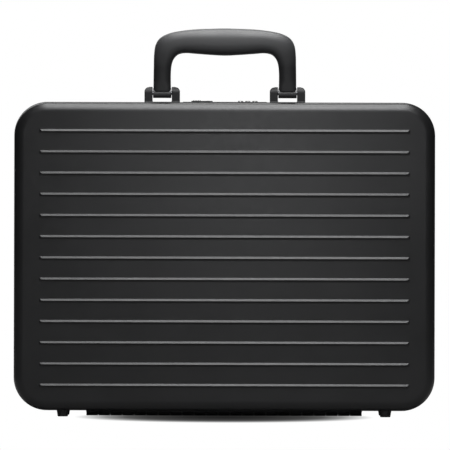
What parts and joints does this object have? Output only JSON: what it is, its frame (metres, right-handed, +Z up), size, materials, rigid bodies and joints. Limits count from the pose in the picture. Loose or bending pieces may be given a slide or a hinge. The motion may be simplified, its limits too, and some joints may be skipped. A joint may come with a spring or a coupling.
{
  "type": "aluminium attache case",
  "caption": "Hard-sided attache case: ribbed black aluminium shells hinged along the bottom, folding top handle, combination slide latch and slotted lid stays.",
  "frame": {"origin": "ground plane under the feet, at the middle of the overall box in X and Y", "axes": "+X to the viewer's right when facing the lid, +Y from the lid towards the base shell, +Z up through the handle"},
  "size_m": [0.43, 0.1072, 0.3973],
  "materials": {
    "body_black": "black anodised sheet, satin",
    "frame_black": "black anodised extrusion, satin",
    "hardware_black": "black powder coat, satin",
    "steel": "zinc plated",
    "plastic_black": "moulded, fine texture",
    "dial_black": "moulded dial with white figures",
    "grip_black": "soft-touch moulded grip",
    "seal_rubber": "foam rubber strip",
    "rubber_black": "moulded rubber",
    "lining_fabric": "short-pile lining cloth over board",
    "pocket_fabric": "woven nylon",
    "webbing": "woven webbing",
    "brass_cam": "machined"
  },
  "bodies": {
    "base": {"base_shell": "body_black", "base_frame": "frame_black", "frame_seal": "seal_rubber", "base_lining": "lining_fabric", "base_feet": "rubber_black", "base_foot_screws": "steel", "base_rivets": "frame_black", "handle_bracket_left": "hardware_black", "handle_bracket_right": "hardware_black", "bracket_screws": "steel", "bracket_backing_plates": "steel", "handle_pins": "steel", "lock_plate": "hardware_black", "lock_housing": "plastic_black", "dial_shaft": "steel", "detent_spring": "steel", "latch_guides": "steel", "return_spring": "steel", "lock_cover": "plastic_black", "hinge_leaf_base": "hardware_black", "hinge_pin": "steel", "hinge_rivets_base": "hardware_black", "stay_plate_base_left": "steel", "stay_plate_base_right": "steel", "stay_rivets_base": "frame_black", "hold_down_straps": "webbing", "strap_buckles": "plastic_black"},
    "lid": {"lid_shell": "body_black", "lid_frame": "frame_black", "lid_lining": "lining_fabric", "lid_feet": "rubber_black", "lid_foot_screws": "steel", "lid_rivets": "frame_black", "striker_left": "steel", "striker_right": "steel", "hinge_leaf_lid": "hardware_black", "hinge_rivets_lid": "hardware_black", "stay_plate_lid_left": "steel", "stay_plate_lid_right": "steel", "stay_rivets_lid": "frame_black", "organizer_panel": "lining_fabric", "file_pocket": "pocket_fabric", "card_pockets": "pocket_fabric", "pen_loops": "webbing"},
    "handle": {"handle_core": "steel", "handle_grip": "grip_black"},
    "latch": {"slide_button": "hardware_black", "latch_bar": "steel"},
    "dial_a": {"dial_1": "dial_black", "dial_cam_1": "brass_cam"},
    "dial_b": {"dial_2": "dial_black", "dial_cam_2": "brass_cam"},
    "dial_c": {"dial_3": "dial_black", "dial_cam_3": "brass_cam"},
    "stay_lower_left": {"stay_lower_arm_left": "steel"},
    "stay_lower_right": {"stay_lower_arm_right": "steel"},
    "stay_upper_left": {"stay_upper_arm_left": "steel"},
    "stay_upper_right": {"stay_upper_arm_right": "steel"}
  },
  "joints": [
    {"name": "lid_hinge", "type": "hinge", "parent": "base", "child": "lid", "pos_m": [0, -0.012, 0.0031], "axis": [1, 0, 0], "range_deg": [0, 95]},
    {"name": "handle_fold", "type": "hinge", "parent": "base", "child": "handle", "pos_m": [0, 0.006, 0.3309], "axis": [1, 0, 0], "range_deg": [-85, 85]},
    {"name": "latch_slide", "type": "slide", "parent": "base", "child": "latch", "axis": [1, 0, 0], "range_m": [0, 0.005]},
    {"name": "dial_a_turn", "type": "hinge", "parent": "base", "child": "dial_a", "pos_m": [0.0162, 0.006, 0.316], "axis": [1, 0, 0], "continuous": true},
    {"name": "dial_b_turn", "type": "hinge", "parent": "base", "child": "dial_b", "pos_m": [0.0235, 0.006, 0.316], "axis": [1, 0, 0], "continuous": true},
    {"name": "dial_c_turn", "type": "hinge", "parent": "base", "child": "dial_c", "pos_m": [0.0308, 0.006, 0.316], "axis": [1, 0, 0], "continuous": true},
    {"name": "stay_lower_left_turn", "type": "hinge", "parent": "base", "child": "stay_lower_left", "pos_m": [-0.2032, 0.01695, 0.06444], "axis": [1, 0, 0], "range_deg": [0, 102]},
    {"name": "stay_upper_left_turn", "type": "hinge", "parent": "stay_lower_left", "child": "stay_upper_left", "pos_m": [-0.2032, -0.00037, 0.13313], "axis": [1, 0, 0], "range_deg": [-104, 0]},
    {"name": "stay_lower_right_turn", "type": "hinge", "parent": "base", "child": "stay_lower_right", "pos_m": [0.2032, 0.01695, 0.06444], "axis": [1, 0, 0], "range_deg": [0, 102]},
    {"name": "stay_upper_right_turn", "type": "hinge", "parent": "stay_lower_right", "child": "stay_upper_right", "pos_m": [0.2032, -0.00037, 0.13313], "axis": [1, 0, 0], "range_deg": [-104, 0]}
  ],
  "couplings": [
    {"joint": "stay_lower_left_turn", "follows": "lid_hinge", "ratio": 1.0638},
    {"joint": "stay_upper_left_turn", "follows": "lid_hinge", "ratio": -1.0862},
    {"joint": "stay_lower_right_turn", "follows": "lid_hinge", "ratio": 1.0638},
    {"joint": "stay_upper_right_turn", "follows": "lid_hinge", "ratio": -1.0862}
  ]
}
